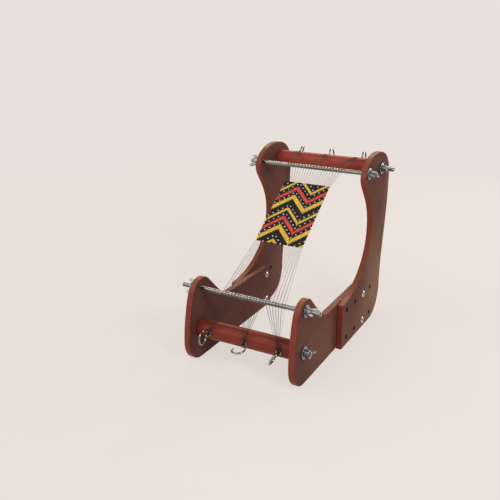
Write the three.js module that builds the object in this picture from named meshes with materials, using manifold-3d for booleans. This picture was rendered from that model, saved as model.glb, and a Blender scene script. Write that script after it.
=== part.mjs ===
// Tabletop bead loom. Each side is a front arm bolted inside a tall rear post. Two turning dowels
// with warp hooks and two threaded warp rods span the sides, and a strip of beadwork hangs on the warp.
// Millimetres. +X points right, +Y to the rear and +Z up, and the loom stands on z = 0.

import * as THREE from 'three';
import { mergeVertices } from 'three/addons/utils/BufferGeometryUtils.js';
import Module from 'manifold-3d';

const wasm = await Module();
wasm.setup();

// Clearances
const seatGap = 0.2; // between flat faces that are clamped together
const runningGap = 0.3; // around a rod, shank or sleeve in its hole
const warpGap = 0.3; // between the warp and what it runs over

// Side panels
const workWidth = 127; // between the inner faces of the arms
const panelThickness = 7.3;

// Front warp rod and front dowel, both in the arms
const frontRodHeight = 88;
const frontDowelHeight = 39.5;
const frontDowelAhead = 2.5; // dowel axis ahead of the rod axis

// Top warp rod and top dowel, both in the posts
const topRodBelowCrown = 21.5; // rod axis below the post's highest point
const topDowelBelowCrown = 24;
const topDowelBehind = 51.5; // dowel axis behind the rod axis

// Holes for the connectors: one column in each arm, several in each post
const armColumnBehind = 174; // arm's hole column behind the front rod
const lowerRowHeight = 10.5;
const upperRowHeight = 47;
const holePitch = 29.3;
const postColumns = 4;
const lengthSetting = 1; // post column in use, counted from the rear one as 0
const topRodAheadOfHoles = 27; // top rod ahead of the post's rear column

// Arm outline
const armFront = 27.8; // arm's nose ahead of the front rod
const armNoseRadius = 28;
const armHeadRadius = 22.5;
const armHeadBelowRod = 10; // centre of the head's arc below the rod
const armHeadBehindRod = 2;
const armHeadFrom = 150; // degrees where the head's arc leaves the brow
const armHeadTo = 48; // degrees where the arc leaves the slope behind it
const armBrowRise = 16; // how far the nose's straight front pulls the brow up
const armNoseFlat = 8; // straight front above the nose's arc
const armSlopePull = 14; // how far the rail pulls the slope's foot forward
const armRailHeight = 60;
const armValleyBehind = 66; // where the head's slope meets the rail
const armRearMargin = 15; // arm behind its hole column
const armRearRadius = 18;
const armHeelRadius = 9;

// Post outline
const postHeight = 230.5;
const postHeadAhead = 11.5; // head ahead of the top rod
const postHeadBehind = 37.5; // head behind the top dowel
const postFrontBelowCrown = 26.5; // foremost point of the head below its highest one
const postRearBelowCrown = 40.5; // rearmost point of the head below its highest one
const postCrownAhead = 5; // highest point ahead of the head's middle
const neckAhead = 4; // neck's front edge ahead of the rear column
const neckHeight = 134;
const legHeight = 58;
const legCrown = 1.5; // how far the leg's top pulls the instep up
const legEndMargin = 16; // leg ahead of its front column
const legCornerRadius = 2.5;
const heelRadius = 38;
const heelBehind = 39.8; // heel behind the rear column

// Threaded rods
const rodRadius = 2.75;
const rodChamfer = 0.5;
const frontRodReach = 18.5; // rod end outside the arm
const frontDowelRodReach = 9.5;
const topRodReach = 11.5; // rod end outside the post
const topDowelRodReach = 18;

// Dowels and hooks
const dowelRadius = 11.1;
const dowelEndGap = 0.3; // dowel end to panel
// Hooks from left to right: place along the dowel, angle round it from the rear over the top, twist
const frontHooks = [[-45.2, 179, -90], [2, 186.5, 7], [45.8, 184.5, -114]];
const topHooks = [[-48.4, 17, -72], [-1.9, 17, -95], [45.5, 18, -89]];
const hookWireRadius = 1.1;
const hookDepth = 6.6; // screwed into the dowel
const hookShank = 5; // straight part outside the dowel
const hookKinkRadius = 2; // kink between the shank and the loop
const hookBendRadius = 7.6;
const hookBendAngle = 275;
const collarRadius = 3.3; // collar at the foot of the hook
const collarHeight = 1.2;

// Washers and wing nuts
const washerRadius = 7.5;
const washerThickness = 1.4;
const nutBaseRadius = 4.9;
const nutTopRadius = 4.1;
const nutHeight = 5.8;
const wingSpan = 18.6;
const wingRise = 10; // wing tips above the washer
const wingThickness = 2;
const wingLobe = 4.6; // length of a wing's rounded tip
const wingFoot = 0.8; // wings start this far above the washer
const wingRoot = 0.3; // wings reach into the boss up to this far from the bore
const wingSink = 0.6; // wings meet the boss this far below its top

// Connectors: a screw from outside into a sleeve from inside
const sleeveRadius = 2.4;
const screwRadius = 1.5;
const connectorHeadRadius = 4.4;
const connectorHeadHeight = 1.7;
const socketRadius = 1.7;
const socketDepth = 1;
const sleeveShortfall = 1.6; // sleeve end inside the post's outer face
const screwShortfall = 4; // screw tip inside the arm's inner face
const sleeveFloor = 1.4; // metal between the sleeve's bore and its seat

// Warp and beadwork
const beadPitch = 1.56;
const beadColumns = 40;
const beadRows = 65;
const beadDiameter = 1.5;
const rowWaist = 0.5; // thickness of the strip between two rows
const rowCrest = 0.6; // width of a row's crest
const beadCentre = 6; // to the right of the middle
const beadStart = 80; // along the warp from the front rod
const warpSpread = 2; // from thread to thread on the rods
const warpThickness = 0.4;
const knotWidth = 2.6; // gathered threads at the hook
const bundleHem = 0.8; // a bundle's share of the width that its solid leaves free
const bundles = 3;
const leastWrap = 1; // a shorter touch of the dowel is left out, and the bundle ends on its straight run

// Smoothness
const panelSegments = 14;
const roundSegments = 20;
const dowelSegments = 32;
const smallSegments = 14;
const wireSides = 8;
const wireSteps = 32;
const wingSegments = 5;
const arcSteps = 4;

const right = new THREE.Vector3(1, 0, 0);
const rad = THREE.MathUtils.degToRad;

// Finishes
const panelPaint = new THREE.MeshStandardMaterial({ color: 0x6b3a30, roughness: 0.45, metalness: 0 });
const dowelPaint = new THREE.MeshStandardMaterial({ color: 0x8c3230, roughness: 0.4, metalness: 0 });
const steel = new THREE.MeshStandardMaterial({ color: 0x9b968a, roughness: 0.35, metalness: 1 });
const zinc = new THREE.MeshStandardMaterial({ color: 0xb4bcc4, roughness: 0.3, metalness: 1 });
const nickel = new THREE.MeshStandardMaterial({ color: 0xc9c3b4, roughness: 0.2, metalness: 1 });
const warpThread = new THREE.MeshStandardMaterial({ color: 0x2a2522, roughness: 0.8, metalness: 0 });
const beads = new THREE.MeshStandardMaterial({ color: 0x1d1b1c, roughness: 0.25, metalness: 0 });

// Places worked out from the sizes
const armInner = workWidth / 2;
const armOuter = armInner + panelThickness;
const postInner = armOuter + seatGap;
const postOuter = postInner + panelThickness;
const rearColumn = armColumnBehind + lengthSetting * holePitch;
const frontColumn = rearColumn - (postColumns - 1) * holePitch;
const rodHole = rodRadius + runningGap;
const sleeveHole = sleeveRadius + runningGap;
const frontRod = new THREE.Vector2(0, frontRodHeight);
const frontDowel = new THREE.Vector2(-frontDowelAhead, frontDowelHeight);
const topRod = new THREE.Vector2(rearColumn - topRodAheadOfHoles, postHeight - topRodBelowCrown);
const topDowel = new THREE.Vector2(topRod.x + topDowelBehind, postHeight - topDowelBelowCrown);

const loom = new THREE.Group();

function add(name, geometry, material) {
  const mesh = new THREE.Mesh(geometry, material);
  mesh.name = name;
  loom.add(mesh);
  return mesh;
}

// Solid booleans
function toSolid(geometry) {
  const bare = geometry.clone();
  bare.deleteAttribute('normal');
  bare.deleteAttribute('uv');
  const merged = mergeVertices(bare, 1e-4);
  const vertProperties = new Float32Array(merged.attributes.position.array);
  const triVerts = new Uint32Array(merged.index.array);
  return new wasm.Manifold(new wasm.Mesh({ numProp: 3, vertProperties, triVerts }));
}

function toGeometry(solid) {
  const mesh = solid.getMesh();
  const geometry = new THREE.BufferGeometry();
  geometry.setAttribute('position', new THREE.BufferAttribute(mesh.vertProperties, 3));
  geometry.setIndex(new THREE.BufferAttribute(mesh.triVerts, 1));
  geometry.computeVertexNormals();
  return geometry;
}

// A closed profile of [radius, height] points turned round +Z
function turned(profile, segments) {
  const points = profile.map(([radius, height]) => new THREE.Vector2(radius, height));
  return new THREE.LatheGeometry(points, segments).rotateX(Math.PI / 2);
}

// Places a mesh with its own +Z along outward and its own +X along across
function aim(mesh, outward, across) {
  const side = new THREE.Vector3().crossVectors(outward, across);
  mesh.setRotationFromMatrix(new THREE.Matrix4().makeBasis(across, side, outward));
}

// Panels are drawn in side view, as (y, z), and extruded along +X
function panel(name, outline, holes, nearX) {
  for (const { y, z, radius } of holes) {
    outline.holes.push(new THREE.Path().absarc(y, z, radius, 0, 2 * Math.PI, false));
  }
  const geometry = new THREE.ExtrudeGeometry(outline, {
    depth: panelThickness,
    bevelEnabled: false,
    curveSegments: panelSegments,
  });
  const mesh = add(name, geometry, panelPaint);
  aim(mesh, right, new THREE.Vector3(0, 1, 0));
  mesh.position.x = nearX;
}

function armOutline() {
  const headCentre = new THREE.Vector2(armHeadBehindRod, frontRodHeight - armHeadBelowRod);
  const slopeAngle = rad(armHeadTo);
  const browAngle = rad(armHeadFrom);
  const onHead = (angle, along) => new THREE.Vector2(
    headCentre.x + armHeadRadius * Math.cos(angle) - along * Math.sin(angle),
    headCentre.y + armHeadRadius * Math.sin(angle) + along * Math.cos(angle),
  );
  const rearEnd = armColumnBehind + armRearMargin;
  const slopeHandle = onHead(slopeAngle, -1.1 * armHeadRadius);
  const slopeTop = onHead(slopeAngle, 0);
  const browHandle = onHead(browAngle, 0.4 * armHeadRadius);
  const noseTop = armNoseRadius + armNoseFlat;
  const shape = new THREE.Shape();
  shape.moveTo(armNoseRadius - armFront, 0);
  shape.lineTo(rearEnd - armHeelRadius, 0);
  shape.absarc(rearEnd - armHeelRadius, armHeelRadius, armHeelRadius, -Math.PI / 2, 0, false);
  shape.lineTo(rearEnd, armRailHeight - armRearRadius);
  shape.absarc(rearEnd - armRearRadius, armRailHeight - armRearRadius, armRearRadius, 0, Math.PI / 2, false);
  shape.lineTo(armValleyBehind, armRailHeight);
  shape.bezierCurveTo(
    armValleyBehind - armSlopePull, armRailHeight, slopeHandle.x, slopeHandle.y, slopeTop.x, slopeTop.y,
  );
  shape.absarc(headCentre.x, headCentre.y, armHeadRadius, slopeAngle, browAngle, false);
  shape.bezierCurveTo(browHandle.x, browHandle.y, -armFront, noseTop + armBrowRise, -armFront, noseTop);
  shape.lineTo(-armFront, armNoseRadius);
  shape.absarc(armNoseRadius - armFront, armNoseRadius, armNoseRadius, Math.PI, 1.5 * Math.PI, false);
  return shape;
}

function postOutline() {
  const legEnd = frontColumn - legEndMargin;
  const heelCentre = rearColumn + heelBehind - heelRadius;
  const heelRear = rearColumn + heelBehind;
  const headRear = topDowel.x + postHeadBehind;
  const headFront = topRod.x - postHeadAhead;
  const crown = (headFront + headRear) / 2 - postCrownAhead;
  const neckFront = rearColumn - neckAhead;
  const headRearHeight = postHeight - postRearBelowCrown;
  const headFrontHeight = postHeight - postFrontBelowCrown;
  const backRise = headRearHeight - heelRadius;
  const throatRise = headFrontHeight - neckHeight;
  const legTopEnd = legEnd + legCornerRadius;
  const instep = neckFront - legTopEnd;
  const shape = new THREE.Shape();
  shape.moveTo(legEnd, 0);
  shape.lineTo(heelCentre, 0);
  shape.absarc(heelCentre, heelRadius, heelRadius, -Math.PI / 2, 0, false);
  shape.bezierCurveTo(
    heelRear, heelRadius + 0.33 * backRise,
    headRear, headRearHeight - 0.4 * backRise,
    headRear, headRearHeight,
  );
  shape.bezierCurveTo(
    headRear, headRearHeight + 0.7 * postRearBelowCrown,
    crown + 0.6 * (headRear - crown), postHeight,
    crown, postHeight,
  );
  shape.bezierCurveTo(
    crown - 0.56 * (crown - headFront), postHeight,
    headFront, headFrontHeight + 0.46 * postFrontBelowCrown,
    headFront, headFrontHeight,
  );
  shape.bezierCurveTo(
    headFront, headFrontHeight - 0.23 * throatRise,
    neckFront, neckHeight + 0.54 * throatRise,
    neckFront, neckHeight,
  );
  shape.bezierCurveTo(
    neckFront, neckHeight - 0.68 * (neckHeight - legHeight),
    legTopEnd + 0.44 * instep, legHeight + legCrown,
    legTopEnd, legHeight,
  );
  shape.absarc(legTopEnd, legHeight - legCornerRadius, legCornerRadius, Math.PI / 2, Math.PI, false);
  return shape;
}

const rodPlace = ({ x, y }) => ({ y: x, z: y, radius: rodHole });

function buildPanels() {
  const rows = [lowerRowHeight, upperRowHeight];
  const armHoles = [rodPlace(frontRod), rodPlace(frontDowel)];
  const postHoles = [rodPlace(topRod), rodPlace(topDowel)];
  for (const z of rows) {
    armHoles.push({ y: armColumnBehind, z, radius: sleeveHole });
    for (let column = 0; column < postColumns; column += 1) {
      postHoles.push({ y: rearColumn - column * holePitch, z, radius: sleeveHole });
    }
  }
  panel('left_arm', armOutline(), armHoles, -armOuter);
  panel('right_arm', armOutline(), armHoles, armInner);
  panel('left_post', postOutline(), postHoles, -postOuter);
  panel('right_post', postOutline(), postHoles, postInner);
}

// Threaded rods, turned as plain bars with chamfered ends
function buildRod(name, place, reachX) {
  const edge = rodRadius - rodChamfer;
  const profile = [
    [0, -reachX],
    [edge, -reachX],
    [rodRadius, rodChamfer - reachX],
    [rodRadius, reachX - rodChamfer],
    [edge, reachX],
    [0, reachX],
  ];
  const mesh = add(name, turned(profile, roundSegments), steel);
  aim(mesh, right, new THREE.Vector3(0, 1, 0));
  mesh.position.set(0, place.x, place.y);
}

// A hook's wire, in the plane of its own x and z: a straight shank, a kink to one side, then a round
// loop whose centre is on the shank's axis. A collar on the shank stops the hook at the dowel.
const kinkAngle = Math.acos(hookKinkRadius / (hookKinkRadius + hookBendRadius));
const loopHeight = hookDepth + hookShank + (hookKinkRadius + hookBendRadius) * Math.sin(kinkAngle);

class HookLine extends THREE.Curve {
  getPoint(t) {
    const shank = hookDepth + hookShank;
    const kink = hookKinkRadius * kinkAngle;
    const bend = hookBendRadius * rad(hookBendAngle);
    const along = t * (shank + kink + bend);
    if (along <= shank) {
      return new THREE.Vector3(0, 0, along);
    }
    if (along <= shank + kink) {
      const turn = (along - shank) / hookKinkRadius;
      const sideways = hookKinkRadius * (Math.cos(turn) - 1);
      return new THREE.Vector3(sideways, 0, shank + hookKinkRadius * Math.sin(turn));
    }
    const turn = kinkAngle - (along - shank - kink) / hookBendRadius;
    return new THREE.Vector3(
      -hookBendRadius * Math.cos(turn), 0, loopHeight - hookBendRadius * Math.sin(turn),
    );
  }
}

function hookGeometry() {
  const section = new THREE.Shape();
  for (let side = 0; side < wireSides; side += 1) {
    const angle = (2 * Math.PI * side) / wireSides;
    const x = hookWireRadius * Math.cos(angle);
    const y = hookWireRadius * Math.sin(angle);
    if (side === 0) {
      section.moveTo(x, y);
    } else {
      section.lineTo(x, y);
    }
  }
  const wire = new THREE.ExtrudeGeometry(section, {
    steps: wireSteps,
    bevelEnabled: false,
    extrudePath: new HookLine(),
  });
  const foot = hookDepth + seatGap;
  const collar = turned([
    [0, foot],
    [collarRadius, foot],
    [collarRadius, foot + collarHeight],
    [0, foot + collarHeight],
  ], roundSegments);
  return toGeometry(toSolid(wire).add(toSolid(collar)));
}

const sideNames = ['left', 'middle', 'right'];

// A dowel between two panels, bored for its rod and drilled for its hooks
function buildDowel(name, place, halfLength, hooks) {
  const alongX = (geometry) => geometry.rotateZ(-Math.PI / 2);
  const bar = new THREE.CylinderGeometry(dowelRadius, dowelRadius, 2 * halfLength, dowelSegments);
  const bore = new THREE.CylinderGeometry(rodHole, rodHole, 3 * halfLength, roundSegments);
  let solid = toSolid(alongX(bar)).subtract(toSolid(alongX(bore)));
  const drillLength = 2 * (hookDepth + runningGap);
  const drillRadius = hookWireRadius + runningGap;
  const hookBody = hookGeometry();
  hooks.forEach(([x, angle, twist], index) => {
    const outward = new THREE.Vector3(0, Math.cos(rad(angle)), Math.sin(rad(angle)));
    const around = new THREE.Vector3().crossVectors(right, outward);
    const drill = new THREE.CylinderGeometry(drillRadius, drillRadius, drillLength, smallSegments);
    drill.rotateX(rad(angle));
    drill.translate(x, dowelRadius * outward.y, dowelRadius * outward.z);
    solid = solid.subtract(toSolid(drill));
    const across = right.clone().multiplyScalar(-Math.cos(rad(twist)));
    across.addScaledVector(around, Math.sin(rad(twist)));
    const mesh = add(`${name}_hook_${sideNames[index]}`, hookBody, nickel);
    aim(mesh, outward, across);
    mesh.position.set(x, place.x, place.y).addScaledVector(outward, dowelRadius - hookDepth);
  });
  add(`${name}_dowel`, toGeometry(solid), dowelPaint).position.set(0, place.x, place.y);
}

function washerGeometry() {
  return turned([
    [rodHole, 0],
    [washerRadius, 0],
    [washerRadius, washerThickness],
    [rodHole, washerThickness],
    [rodHole, 0],
  ], roundSegments);
}

// A wing nut: a tapered boss with two wings that rise and spread from it
function wingNutGeometry() {
  const boss = turned([[0, 0], [nutBaseRadius, 0], [nutTopRadius, nutHeight], [0, nutHeight]], roundSegments);
  const past = nutHeight / 2;
  const bore = turned([
    [0, -past],
    [rodHole, -past],
    [rodHole, nutHeight + past],
    [0, nutHeight + past],
  ], roundSegments);
  const tip = wingSpan / 2;
  const root = rodHole + wingRoot;
  const crest = nutHeight - wingSink;
  const wing = new THREE.Shape();
  wing.moveTo(root, wingFoot);
  wing.lineTo(nutBaseRadius, wingFoot);
  wing.quadraticCurveTo(0.92 * tip, 0.3 * wingRise, tip, wingRise - 0.45 * wingLobe);
  wing.quadraticCurveTo(tip, wingRise, tip - 0.5 * wingLobe, wingRise);
  wing.quadraticCurveTo(1.25 * nutTopRadius, wingRise, nutTopRadius, crest);
  wing.lineTo(root, crest);
  const blade = new THREE.ExtrudeGeometry(wing, {
    depth: wingThickness,
    bevelEnabled: false,
    curveSegments: wingSegments,
  });
  blade.translate(0, 0, -wingThickness / 2).rotateX(Math.PI / 2);
  const one = toSolid(blade);
  const other = toSolid(blade.clone().rotateZ(Math.PI));
  return toGeometry(toSolid(boss).add(one).add(other).subtract(toSolid(bore)));
}

// Washer and wing nut at both ends of a rod; wingAngles are the left and right nuts' wings
function buildFastening(name, place, faceX, wingAngles) {
  const washer = washerGeometry();
  const wingNut = wingNutGeometry();
  [-1, 1].forEach((sign, index) => {
    const side = sign < 0 ? 'left' : 'right';
    const outward = right.clone().multiplyScalar(sign);
    const wings = new THREE.Vector3(0, Math.cos(rad(wingAngles[index])), Math.sin(rad(wingAngles[index])));
    const washerMesh = add(`${name}_washer_${side}`, washer, zinc);
    aim(washerMesh, outward, wings);
    washerMesh.position.set(sign * (faceX + seatGap), place.x, place.y);
    const nutMesh = add(`${name}_wing_nut_${side}`, wingNut, zinc);
    aim(nutMesh, outward, wings);
    nutMesh.position.set(sign * (faceX + 2 * seatGap + washerThickness), place.x, place.y);
  });
}

// Profile points of a low domed head with a socket, from its seat's rim to the socket's floor
function headProfile() {
  const rim = 0.35 * connectorHeadHeight;
  const dome = connectorHeadHeight - rim;
  const points = [[connectorHeadRadius, 0], [connectorHeadRadius, rim]];
  for (const share of [0.5, 0.85]) {
    const radius = THREE.MathUtils.lerp(connectorHeadRadius, socketRadius, share);
    points.push([radius, rim + dome * Math.sin(share * Math.PI / 2)]);
  }
  points.push([socketRadius, connectorHeadHeight]);
  points.push([socketRadius, connectorHeadHeight - socketDepth]);
  points.push([0, connectorHeadHeight - socketDepth]);
  return points;
}

function buildConnectors() {
  const stack = postOuter - armInner;
  const sleeveLength = stack + seatGap - sleeveShortfall;
  const screwLength = stack + seatGap - screwShortfall;
  const boreRadius = screwRadius + runningGap;
  const sleeve = turned([
    [0, -sleeveFloor],
    [boreRadius, -sleeveFloor],
    [boreRadius, -sleeveLength],
    [sleeveRadius, -sleeveLength],
    [sleeveRadius, 0],
    ...headProfile(),
  ], smallSegments);
  const screw = turned([
    [0, -screwLength],
    [screwRadius, -screwLength],
    [screwRadius, 0],
    ...headProfile(),
  ], smallSegments);
  const up = new THREE.Vector3(0, 0, 1);
  for (const [sign, side] of [[-1, 'left'], [1, 'right']]) {
    const outward = right.clone().multiplyScalar(sign);
    for (const [z, row] of [[lowerRowHeight, 'lower'], [upperRowHeight, 'upper']]) {
      const screwMesh = add(`${side}_connector_screw_${row}`, screw, zinc);
      aim(screwMesh, outward, up);
      screwMesh.position.set(sign * (postOuter + seatGap), armColumnBehind, z);
      const sleeveMesh = add(`${side}_connector_sleeve_${row}`, sleeve, zinc);
      aim(sleeveMesh, outward.clone().negate(), up);
      sleeveMesh.position.set(sign * (armInner - seatGap), armColumnBehind, z);
    }
  }
}

// The warp's run in side view. A contact angle is that of the outward normal where the warp touches.
const warpOffset = warpGap + warpThickness / 2;
const onRod = rodRadius + warpOffset;
const onDowel = dowelRadius + warpOffset;
const warpRun = topRod.clone().sub(frontRod);
const warpLength = warpRun.length();
const warpSlope = warpRun.angle();
const warpNormal = warpSlope + Math.PI / 2;

function tangentAngle(rod, dowel, side) {
  const run = dowel.clone().sub(rod);
  return run.angle() + side * Math.acos((onRod - onDowel) / run.length());
}

const frontTangent = tangentAngle(frontRod, frontDowel, -1);
const topTangent = tangentAngle(topRod, topDowel, 1) - 2 * Math.PI;

function onCircle(centre, radius, angle) {
  return new THREE.Vector2(centre.x + radius * Math.cos(angle), centre.y + radius * Math.sin(angle));
}

// One bundle of threads, as a thin band swept through its stations
function buildBundle(name, stations) {
  const positions = [];
  const corners = [[-1, -1], [1, -1], [1, 1], [-1, 1]];
  for (const { centre, normal, left, width } of stations) {
    for (const [across, out] of corners) {
      const x = left + (0.5 + 0.5 * across) * width;
      const lift = (out * warpThickness) / 2;
      positions.push(x, centre.x + lift * Math.cos(normal), centre.y + lift * Math.sin(normal));
    }
  }
  const index = [];
  for (let station = 0; station + 1 < stations.length; station += 1) {
    for (let corner = 0; corner < 4; corner += 1) {
      const a = 4 * station + corner;
      const b = 4 * station + ((corner + 1) % 4);
      index.push(a, b, b + 4, a, b + 4, a + 4);
    }
  }
  const last = 4 * (stations.length - 1);
  index.push(0, 2, 1, 0, 3, 2);
  index.push(last, last + 1, last + 2, last, last + 2, last + 3);
  const geometry = new THREE.BufferGeometry();
  geometry.setAttribute('position', new THREE.Float32BufferAttribute(positions, 3));
  geometry.setIndex(index);
  geometry.computeVertexNormals();
  add(name, geometry, warpThread);
}

// Stations of one bundle, from the beadwork over its rod to the hook's collar
function bundleStations(number, beadEdge, rod, dowel, contact, [hookX, hookAngle]) {
  const beadShare = (beadColumns * beadPitch) / bundles;
  const rodShare = (beadColumns * warpSpread) / bundles;
  const middle = number - (bundles - 1) / 2;
  const place = (centre, normal, x, width) => ({ centre, normal, left: x - width / 2, width });
  const edge = frontRod.clone().addScaledVector(warpRun, beadEdge / warpLength);
  const beadX = beadCentre + middle * beadShare;
  const rodX = beadCentre + middle * rodShare;
  const stations = [place(onCircle(edge, onRod, warpNormal), warpNormal, beadX, beadShare - bundleHem)];
  for (let step = 0; step <= arcSteps; step += 1) {
    const angle = THREE.MathUtils.lerp(warpNormal, contact, step / arcSteps);
    stations.push(place(onCircle(rod, onRod, angle), angle, rodX, rodShare - bundleHem));
  }
  const turn = Math.sign(rad(hookAngle) - contact);
  const knot = rad(hookAngle) - (turn * (collarRadius + warpGap)) / dowelRadius;
  const leave = onCircle(rod, onRod, contact);
  const touch = onCircle(dowel, onDowel, contact);
  const run = leave.distanceTo(touch);
  const wrap = turn * (knot - contact) * onDowel;
  if (wrap < leastWrap) {
    const end = leave.lerp(touch, Math.min(1, 1 + wrap / run));
    return [...stations, place(end, contact, hookX, knotWidth)];
  }
  for (let step = 0; step <= arcSteps; step += 1) {
    const angle = THREE.MathUtils.lerp(contact, knot, step / arcSteps);
    const gathered = (run + (wrap * step) / arcSteps) / (run + wrap);
    const x = THREE.MathUtils.lerp(rodX, hookX, gathered);
    const width = THREE.MathUtils.lerp(rodShare - bundleHem, knotWidth, gathered);
    stations.push(place(onCircle(dowel, onDowel, angle), angle, x, width));
  }
  return stations;
}

function buildWarp() {
  const beadEnd = beadStart + beadRows * beadPitch;
  for (let number = 0; number < bundles; number += 1) {
    const name = sideNames[number];
    const frontEdge = beadStart - warpGap;
    const topEdge = beadEnd + warpGap;
    const front = bundleStations(number, frontEdge, frontRod, frontDowel, frontTangent, frontHooks[number]);
    buildBundle(`front_warp_${name}`, front);
    const top = bundleStations(number, topEdge, topRod, topDowel, topTangent, topHooks[number]);
    buildBundle(`top_warp_${name}`, top.reverse());
  }
}

// The strip's outline in side view, along the warp: each row of beads is a rib on both faces
function beadworkOutline(length) {
  const rise = beadDiameter / 2;
  const waist = rowWaist / 2;
  const face = [new THREE.Vector2(-length / 2, waist)];
  for (let row = 0; row < beadRows; row += 1) {
    const middle = (row + 0.5) * beadPitch - length / 2;
    face.push(new THREE.Vector2(middle - rowCrest / 2, rise));
    face.push(new THREE.Vector2(middle + rowCrest / 2, rise));
    face.push(new THREE.Vector2(middle + beadPitch / 2, waist));
  }
  const back = face.map(({ x, y }) => new THREE.Vector2(x, -y));
  return new THREE.Shape([...back, ...face.reverse()]);
}

function buildBeadwork() {
  const length = beadRows * beadPitch;
  const width = beadColumns * beadPitch;
  const middle = frontRod.clone().addScaledVector(warpRun, (beadStart + length / 2) / warpLength);
  const centre = onCircle(middle, onRod, warpNormal);
  const along = new THREE.Vector3(0, Math.cos(warpSlope), Math.sin(warpSlope));
  const strip = new THREE.ExtrudeGeometry(beadworkOutline(length), { depth: width, bevelEnabled: false });
  const mesh = add('beadwork', strip, beads);
  aim(mesh, right, along);
  mesh.position.set(beadCentre - width / 2, centre.x, centre.y);
}

buildPanels();
buildRod('front_warp_rod', frontRod, armOuter + frontRodReach);
buildRod('front_dowel_rod', frontDowel, armOuter + frontDowelRodReach);
buildRod('top_warp_rod', topRod, postOuter + topRodReach);
buildRod('top_dowel_rod', topDowel, postOuter + topDowelRodReach);
buildDowel('front', frontDowel, armInner - dowelEndGap, frontHooks);
buildDowel('top', topDowel, postInner - dowelEndGap, topHooks);
buildFastening('front_warp_rod', frontRod, armOuter, [58, 5]);
buildFastening('front_dowel_rod', frontDowel, armOuter, [30, 0]);
buildFastening('top_warp_rod', topRod, postOuter, [45, -33]);
buildFastening('top_dowel_rod', topDowel, postOuter, [50, 5]);
buildConnectors();
buildWarp();
buildBeadwork();

// The origin is on the table, under the middle of the whole loom
const extent = new THREE.Box3().setFromObject(loom, true);
loom.position.y = -(extent.min.y + extent.max.y) / 2;

export default loom;
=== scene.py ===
"""Models and finishes a tabletop bead loom around its fixed frame.

In metres, with +X to the right, +Y to the rear and +Z up.
"""

import math

import bpy
import numpy as np
from mathutils import Matrix, Quaternion, Vector


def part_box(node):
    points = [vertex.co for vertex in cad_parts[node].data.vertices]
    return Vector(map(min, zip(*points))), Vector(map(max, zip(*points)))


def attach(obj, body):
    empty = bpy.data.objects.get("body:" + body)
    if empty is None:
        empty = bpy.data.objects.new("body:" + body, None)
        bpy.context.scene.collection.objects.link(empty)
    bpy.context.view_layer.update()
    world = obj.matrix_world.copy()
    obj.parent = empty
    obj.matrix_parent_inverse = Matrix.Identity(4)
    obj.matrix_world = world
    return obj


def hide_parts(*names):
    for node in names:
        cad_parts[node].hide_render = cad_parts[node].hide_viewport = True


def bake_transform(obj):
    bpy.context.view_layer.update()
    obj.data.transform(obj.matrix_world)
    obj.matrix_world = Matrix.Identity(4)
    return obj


bl_info = {
    "name": "Bead Loom",
    "version": (1, 0, 0),
    "blender": (4, 5, 0),
    "location": "3D Viewport > Sidebar > Bead Loom",
    "description": "Models and finishes a tabletop bead loom with beadwork on its warp",
    "category": "Object",
}

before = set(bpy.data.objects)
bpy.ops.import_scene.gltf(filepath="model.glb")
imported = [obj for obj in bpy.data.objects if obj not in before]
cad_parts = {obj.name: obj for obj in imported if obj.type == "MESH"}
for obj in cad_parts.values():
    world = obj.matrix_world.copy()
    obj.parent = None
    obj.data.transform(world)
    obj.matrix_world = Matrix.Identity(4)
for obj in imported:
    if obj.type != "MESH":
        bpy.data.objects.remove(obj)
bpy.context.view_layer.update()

MM = 0.001
MERGE = 0.001 * MM  # points nearer to each other than this become one
CLEARANCE = 0.3 * MM  # round a rod in its bore
SIDES = {"left": -1.0, "right": 1.0}
HOOKS = ("left", "middle", "right")
RODS = ("front_warp_rod", "front_dowel_rod", "top_warp_rod", "top_dowel_rod")
PANELS = ("left_arm", "right_arm", "left_post", "right_post")

# A board is drawn flat in X and Y, and this turn stands it up in Y and Z with its thickness along X
STAND_UP = Quaternion((1.0, 1.0, 1.0), math.radians(120.0)).to_matrix().to_4x4()


# Places taken from the frame


def centre(node):
    low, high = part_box(node)
    return (low + high) / 2


def axis_of(node):
    """The point where a node's axis along X crosses the loom's middle plane."""
    return centre(node) * Vector((0.0, 1.0, 1.0))


def size_of(node):
    low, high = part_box(node)
    return high - low


def corners(node):
    """A node's corners, each once."""
    return np.unique(np.array([vertex.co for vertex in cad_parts[node].data.vertices]).round(7), axis=0)


def ring_point(middle, radius, angle):
    """A point on a circle round X. The angle counts from the rear, over the top."""
    return middle + Vector((0.0, radius * math.cos(angle), radius * math.sin(angle)))


def arc(middle, radius, begin, end, steps=6):
    """Points on a circle round X, from one angle to another."""
    return [ring_point(middle, radius, begin + (end - begin) * step / steps) for step in range(steps + 1)]


FRONT_ROD = axis_of("front_warp_rod")
FRONT_DOWEL = axis_of("front_dowel")
TOP_ROD = axis_of("top_warp_rod")
TOP_DOWEL = axis_of("top_dowel")
ROD_RADIUS = size_of("front_warp_rod").z / 2
DOWEL_RADIUS = size_of("front_dowel").z / 2
RUN = (TOP_ROD - FRONT_ROD).normalized()  # the warp's direction from the front rod to the top one
LIFT = Vector((1.0, 0.0, 0.0)).cross(RUN)  # out of the warp, up and to the front


# Modelling helpers


def deselect():
    bpy.ops.object.select_all(action="DESELECT")


def hold(*pieces):
    """Selects the pieces alone, the first as the active one."""
    deselect()
    for piece in pieces:
        piece.select_set(True)
    bpy.context.view_layer.objects.active = pieces[0]


class Editing:
    """Edit mode on one piece, with all of it selected."""

    def __init__(self, piece, kind="VERT"):
        self.piece = piece
        self.kind = kind

    def __enter__(self):
        hold(self.piece)
        bpy.ops.object.mode_set(mode="EDIT")
        bpy.ops.mesh.select_mode(type=self.kind)
        bpy.ops.mesh.select_all(action="SELECT")

    def __exit__(self, *error):
        bpy.ops.object.mode_set(mode="OBJECT")


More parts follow.
